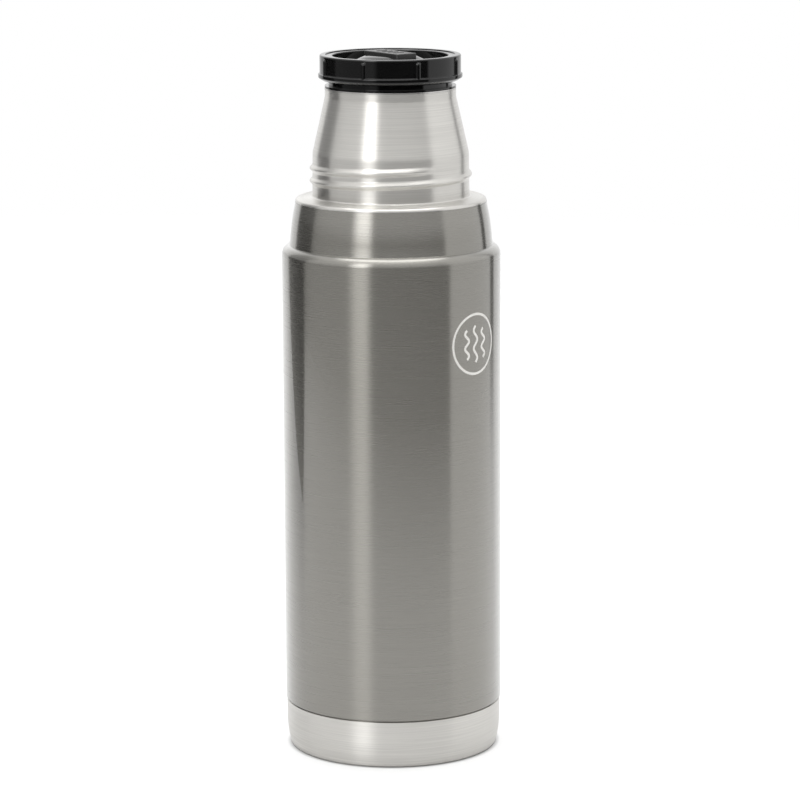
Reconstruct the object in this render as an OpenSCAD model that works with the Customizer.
// Vacuum flask with a screw-in pouring stopper, drink cup off.
// +Z is up, the origin is the middle of the base on the table, and -Y is the front.

/* [Body] */
// Outer diameter of the coated body
body_d = 90; // [86:0.5:94]
// Height of the seam between base cap and body
seam_z = 19.7; // [18:0.1:24]
// Height where the straight body turns into the shoulder
shoulder_z = 207; // [190:0.1:220]
// Height of the shoulder, up to the foot of the neck
shoulder_h = 21.8; // [20:0.1:23]
// Thickness of every drawn steel sheet
steel_t = 0.5; // [0.4:0.05:0.6]
// Free space between outer shell and inner vessel
vacuum_gap = 3.2; // [3:0.1:4]

/* [Neck] */
// Outer diameter of the threaded part of the neck
neck_d = 64.4; // [63.6:0.1:66]
// Outer diameter of the neck at its rim
rim_d = 53.6; // [53:0.1:55]
// Height of the neck above the shoulder
neck_h = 46.6; // [46:0.1:50]
// Rise of the cup thread in one turn
cup_lead = 5.2; // [4.8:0.1:6]
// Turns of the cup thread
cup_turns = 1.5; // [1:0.25:1.75]

/* [Stopper] */
// Diameter of the grip ring
grip_d = 57.7; // [57:0.1:60]
// Height of the grip ring
grip_h = 10.5; // [10:0.1:12]
// Rise of the stopper in one turn
stopper_lead = 10; // [9:0.5:11]
// Direction of the thumb bar, from +X
bar_angle = 76; // [0:1:180]

/* [Hidden] */

$fn = 96;
body_r = body_d / 2;
neck_r = neck_d / 2;
rim_r = rim_d / 2;
grip_r = grip_d / 2;

// Heights of the foot of the neck and of its rim
foot_z = shoulder_z + shoulder_h;
rim_z = foot_z + neck_h;

// Base cap and the joint that it covers
seam_gap = 0.6;
base_r = body_r - 0.4;
panel_z = 1.4;
joint_r = base_r - steel_t - 0.15;
joint_z = 12;
skirt_r = joint_r - 1;
plate_z = 6.5;
seal_hole_r = 0.6;
dimple_r = 4;
dimple_h = 1.5;
weld_gap = 0.05;

// Inner vessel
liner_r = body_r - 2 * steel_t - vacuum_gap;
liner_z = 13;
joint_liner_z = 24;
neck_joint_z = shoulder_z - 10.7;
throat_r = 21.8;
mouth_r = 24.4;
seat_z = rim_z - 26.9;
seat_h = mouth_r - throat_r;
foil_t = 0.2;

// Stopper levels
rest_gap = 0.15;
flange_r = rim_r;
flange_z = rim_z + rest_gap;
flange_h = 0.7;
band_r = 25.25;
grip_z = rim_z + 2.9;
stopper_r = 22.9;
cavity_r = 21.3;
stopper_z = seat_z + 4;
spigot_r = 19;
retainer_z = seat_z - 1.4;
retainer_h = 1.8;
boss_r = 6;
slack = 0.1;

// Threads: how far a ridge stands proud, and its width at the wall and at the crest
ridge_h = 1.15;
cup_ridge_w = 3.8;
cup_thread_z = foot_z + 7.7;
cup_thread_angle = 76;
thread_h = 1.1;
thread_w = 2.2;
thread_crest = 1;
starts = 2;
liner_thread_z = rim_z - 18;
stopper_thread_z = rim_z - 20.8;
lugs = 4;
lug_span = 48;
lug_pitch = 72;

function unit(v) = v / norm(v);
function left(v) = [-v[1], v[0]];
function flip(p) = [for (i = [len(p) - 1 : -1 : 0]) p[i]];

// Arc that rounds the corner b between a and c with radius r
function fillet(a, b, c, r, n = 7) =
    let (u = unit(a - b), v = unit(c - b), half = acos(u * v) / 2,
        m = b + unit(u + v) * r / sin(half), d = r / tan(half),
        p = b + u * d - m, q = b + v * d - m,
        a0 = atan2(p[1], p[0]), turn = atan2(p[0] * q[1] - p[1] * q[0], p * q))
    [for (i = [0 : n]) m + r * [cos(a0 + turn * i / n), sin(a0 + turn * i / n)]];

// Path through corners [r, z, rounding]; the ends and the corners with no rounding stay sharp
function rounded(c) = [for (i = [0 : len(c) - 1])
    let (b = [c[i][0], c[i][1]], end = i == 0 || i == len(c) - 1)
    each (end || c[i][2] == 0 ? [b]
        : fillet([c[i - 1][0], c[i - 1][1]], b, [c[i + 1][0], c[i + 1][1]], c[i][2]))];

// Path moved sideways by t, to the left of its direction; it never crosses the axis
function beside(p, t) = [for (i = [0 : len(p) - 1])
    let (a = left(unit(i == 0 ? p[1] - p[0] : p[i] - p[i - 1])),
        b = left(unit(i == len(p) - 1 ? p[i] - p[i - 1] : p[i + 1] - p[i])),
        m = unit(a + b), q = p[i] + m * t / (m * a))
    [p[i][0] == 0 ? 0 : q[0], q[1]]];

// Round sheet part: the corners are one face, and the thickness t lies to its left
module sheet(corners, t) {
    path = rounded(corners);
    rotate_extrude() polygon(concat(path, flip(beside(path, t))));
}

module ring(r_in, r_out, z, h) {
    translate([0, 0, z]) difference() {
        cylinder(r = r_out, h = h);
        translate([0, 0, -1]) cylinder(r = r_in, h = h + 2);
    }
}

// Helical ridge on a wall of radius r, right-handed, from angle a0 over span degrees. It stands
// outward, or inward when out is -1. The section lists [height, offset] points, and a height
// below zero is sunk into the wall. The ridge runs out into the wall over fade degrees.
module ridge(r, z, lead, a0, span, section, out = 1, fade = 24, step = 10) {
    n = ceil(span / step);
    m = len(section);
    loop = out > 0 ? section : flip(section);
    points = [for (i = [0 : n], s = loop)
        let (a = span * i / n, k = min(1, a / fade, (span - a) / fade),
            x = r + out * (s[0] > 0 ? s[0] * k - 0.2 * (1 - k) : s[0]))
        [x * cos(a0 + a), x * sin(a0 + a), z + lead * a / 360 + s[1]]];
    sides = [for (i = [0 : n - 1], j = [0 : m - 1])
        let (k = (j + 1) % m, p = i * m)
        each [[p + j, p + k, p + m + k], [p + j, p + m + k, p + m + j]]];
    caps = [for (j = [1 : m - 2])
        each [[0, j + 1, j], [n * m, n * m + j, n * m + j + 1]]];
    polyhedron(points = points, faces = concat(sides, caps));
}

// Section of a rolled ridge of height h and width w, rounded like a bell
function rolled(h, w, n = 6) = concat([[-0.25, w / 2], [-0.25, -w / 2]],
    [for (i = [0 : n]) let (t = i / n - 0.5) [0.02 + h * (1 + cos(360 * t)) / 2, w * t]]);

// Section of a flat-topped ridge of height h
function flat_topped(h) = let (w = thread_w / 2, c = thread_crest / 2)
    [[-0.25, w], [-0.25, -w], [h, -c], [h, c]];

module base_cap() color("gainsboro")
    sheet([[0, panel_z, 0], [35.5, panel_z, 1.5], [37.3, 0, 1], [base_r - 1.7, 0, 1.4],
        [base_r - 0.55, 4.8, 12], [base_r - 0.1, 9, 30], [base_r, seam_z - seam_gap / 2, 0]],
        steel_t);

module base_pad() color("dimgray")
    ring(12, 33, panel_z + steel_t + weld_gap, plate_z - panel_z - steel_t - 2 * weld_gap);

// Coated shell: the hidden joint skirt, the straight body, and the shoulder up to its edge
module body_shell() color("gray")
    sheet([[skirt_r, plate_z, 0], [skirt_r, joint_z - 1, 0.8], [joint_r, joint_z, 0.8],
        [joint_r, seam_z + 0.1, 0.3], [body_r, seam_z + 0.35, 0.6],
        [body_r, shoulder_z + 3.24, 3.9], [body_r - 3.2, shoulder_z + 3.92, 0.15],
        [body_r - 4.05, shoulder_z + 13, 90], [body_r - 5.75, foot_z, 0]], steel_t);

// Bare neck: foot flange, threaded skirt, cone and rim, with the ridge that the cup screws onto
module neck_shell() color("silver") union() {
    sheet([[body_r - 5.8, foot_z + weld_gap, 0], [body_r - 5.8, foot_z + 1.3, 1.2],
        [neck_r, foot_z + 2.1, 0.8], [neck_r - 0.2, foot_z + 19.9, 8],
        [rim_r, foot_z + 42.8, 4], [rim_r, rim_z - steel_t - weld_gap, 0]], steel_t);
    ridge(neck_r, cup_thread_z, cup_lead, cup_thread_angle, 360 * cup_turns,
        rolled(ridge_h, cup_ridge_w));
}

// Plate that closes the vacuum space, with the dimple of the evacuation hole
module outer_bottom() color("lightgray")
    sheet([[seal_hole_r, plate_z + dimple_h, 0], [dimple_r, plate_z + dimple_h, 0.6],
        [dimple_r + 1.5, plate_z, 0.6], [skirt_r - steel_t - weld_gap, plate_z, 1.2],
        [skirt_r - steel_t - weld_gap, plate_z + 3, 0]], steel_t);

module sealing_glass() color("darkslategray") {
    translate([0, 0, plate_z + dimple_h - 0.8]) cylinder(r = dimple_r - 0.9, h = 0.8);
    translate([0, 0, plate_z + dimple_h - 0.1]) cylinder(r = seal_hole_r - weld_gap, h = steel_t);
}

// Getter: a pressed pellet that keeps the vacuum, in a clip on the closing plate
getter_at = [22, 0, plate_z + steel_t];
clip_w = 7;
clip_t = 0.4;
pellet_r = 3;
pellet_h = 2.2;

module getter_clip() color("silver") translate(getter_at) {
    translate([-clip_w / 2, -clip_w / 2, 0]) cube([clip_w, clip_w, clip_t]);
    for (s = [-1, 1]) translate([s * (clip_w - clip_t) / 2 - clip_t / 2, -clip_w / 4, 0])
        cube([clip_t, clip_w / 2, 3]);
}

module getter_pellet() color("darkgray") translate(getter_at)
    translate([0, 0, clip_t]) cylinder(r = pellet_r, h = pellet_h);

// Foil wrapped once round the inner vessel, its two edges a slit apart
module foil_wrap() color("silver") difference() {
    ring(liner_r + steel_t + 0.15, liner_r + steel_t + 0.15 + foil_t,
        joint_liner_z, neck_joint_z - joint_liner_z);
    translate([0, -0.5, 0]) cube([body_r, 1, shoulder_z]);
}

module liner_bottom() color("lightgray")
    sheet([[0, liner_z + 1.8, 0], [16, liner_z + 1.5, 40], [30, liner_z, 20],
        [liner_r, liner_z, 8], [liner_r, joint_liner_z - weld_gap, 0]], -steel_t);

module liner_tube() color("lightgray")
    ring(liner_r, liner_r + steel_t, joint_liner_z, neck_joint_z - weld_gap - joint_liner_z);

// Top of the inner vessel: shoulder, throat, seat of the seal, threaded mouth and turned-out rim
module liner_neck() color("lightgray") union() {
    sheet([[liner_r, neck_joint_z, 0], [liner_r, shoulder_z - 0.7, 12],
        [throat_r, shoulder_z + 15.3, 8], [throat_r, seat_z, 0.6], [mouth_r, seat_z + seat_h, 0.6],
        [mouth_r, rim_z, 0.9], [rim_r, rim_z, 0]], -steel_t);
    for (i = [0 : starts - 1])
        ridge(mouth_r, liner_thread_z, stopper_lead, i * 360 / starts, 300,
            flat_topped(thread_h), -1);
}

// Silicone ring that seals on the seat below the thread
module seal_ring() color("whitesmoke") translate([0, 0, seat_z]) rotate_extrude()
    polygon([[spigot_r + slack, 0.5], [22.05, 0.5], [23, 1.45], [23, 3], [22.2, 3.9],
        [spigot_r + slack, 3.9]]);

// Threaded cup of the stopper, with the flange that sits over the rim. The gaps between the
// thread lugs let the drink past when the stopper is turned up.
module stopper_shell() color("black") difference() {
    union() {
        translate([0, 0, stopper_z]) cylinder(r = stopper_r, h = flange_z + 0.1 - stopper_z);
        translate([0, 0, flange_z]) cylinder(r = flange_r, h = flange_h);
        translate([0, 0, flange_z]) cylinder(r = band_r, h = grip_z - weld_gap - flange_z);
        translate([0, 0, retainer_z + retainer_h + weld_gap])
            cylinder(r = spigot_r, h = stopper_z - retainer_z - retainer_h);
        for (i = [0 : starts - 1], j = [0 : lugs - 1])
            ridge(stopper_r, stopper_thread_z + stopper_lead * j * lug_pitch / 360, stopper_lead,
                i * 360 / starts + j * lug_pitch, lug_span, flat_topped(thread_h), 1, 6, 8);
    }
    translate([0, 0, stopper_z + 1.6]) cylinder(r = cavity_r, h = rim_z);
    translate([0, 0, retainer_z]) cylinder(r = boss_r, h = stopper_z - 0.5 - retainer_z);
}

module stopper_foam() color("khaki")
    translate([0, 0, stopper_z + 1.7])
        cylinder(r = cavity_r - slack, h = grip_z - 2.6 - stopper_z - 1.7);

// Disc that holds the seal ring on the stopper, pressed into the bottom by its boss
module seal_retainer() color("black") {
    translate([0, 0, retainer_z]) cylinder(r = spigot_r + 1.8, h = retainer_h);
    translate([0, 0, retainer_z]) cylinder(r = boss_r - weld_gap, h = stopper_z - 0.6 - retainer_z);
}

// Grip cap: ring with eight ribs, round a dish whose middle rises and carries the thumb bar
dish_r = grip_r - 5.2;
dish_h = 4.2;
mound_r = 18.5;
crown_r = 10;
crown_drop = 0.5;
lip_h = 2.7;
ribs = 8;
rib_r = 0.9;
rib_angle = 19;
bar_l = 24;
bar_w = 10;
bar_h = 1;
bar_corner = 1.2;
rail_at = [-6, -2, 2, 6];
rail_w = 1;
rail_l = 5;
rail_h = 0.2;

// Bar with rounded corners, and four low rails across its top for the thumb
module thumb_bar() {
    linear_extrude(dish_h + bar_h) union() {
        square([bar_l, bar_w - 2 * bar_corner], center = true);
        square([bar_l - 2 * bar_corner, bar_w], center = true);
        for (x = [-1, 1], y = [-1, 1])
            translate([x * (bar_l / 2 - bar_corner), y * (bar_w / 2 - bar_corner)])
                circle(bar_corner);
    }
    for (x = rail_at) translate([x - rail_w / 2, -rail_l / 2, dish_h + bar_h - 0.1])
        cube([rail_w, rail_l, rail_h + 0.1]);
}

// Outline of the grip: rounded lower lip, straight wall, rounded rim, stepped dish and crown
module ring_profile() polygon(rounded([[0, 0, 0], [grip_r - 1.2, 0, 0.8], [grip_r + 0.6, 1.2, 0.7],
    [grip_r + 0.6, lip_h, 0.3], [grip_r, lip_h + 0.3, 0.2], [grip_r, grip_h, 0.6],
    [grip_r - 2.4, grip_h, 0], [grip_r - 2.4, grip_h - 0.4, 0], [dish_r, grip_h - 0.4, 0.3],
    [dish_r, grip_h - dish_h, 0.5], [mound_r, grip_h - dish_h, 3],
    [crown_r, grip_h - crown_drop, 10], [0, grip_h - crown_drop + 0.2, 0]]));

module grip_cap() color("black") translate([0, 0, grip_z]) {
    rotate_extrude() ring_profile();
    translate([0, 0, -2.5]) cylinder(r = cavity_r - slack, h = 2.6);
    for (i = [0 : ribs - 1]) rotate(rib_angle + i * 360 / ribs) translate([grip_r - 0.35, 0, 0]) {
        translate([0, 0, 1]) cylinder(r = rib_r, h = grip_h - 2.9, $fn = 24);
        translate([0, 0, grip_h - 1.9]) sphere(r = rib_r, $fn = 24);
    }
    translate([0, 0, grip_h - dish_h - 0.1]) rotate(bar_angle) thumb_bar();
}

base_cap();
base_pad();
body_shell();
neck_shell();
outer_bottom();
sealing_glass();
getter_clip();
getter_pellet();
foil_wrap();
liner_bottom();
liner_tube();
liner_neck();
seal_ring();
stopper_shell();
stopper_foam();
seal_retainer();
grip_cap();
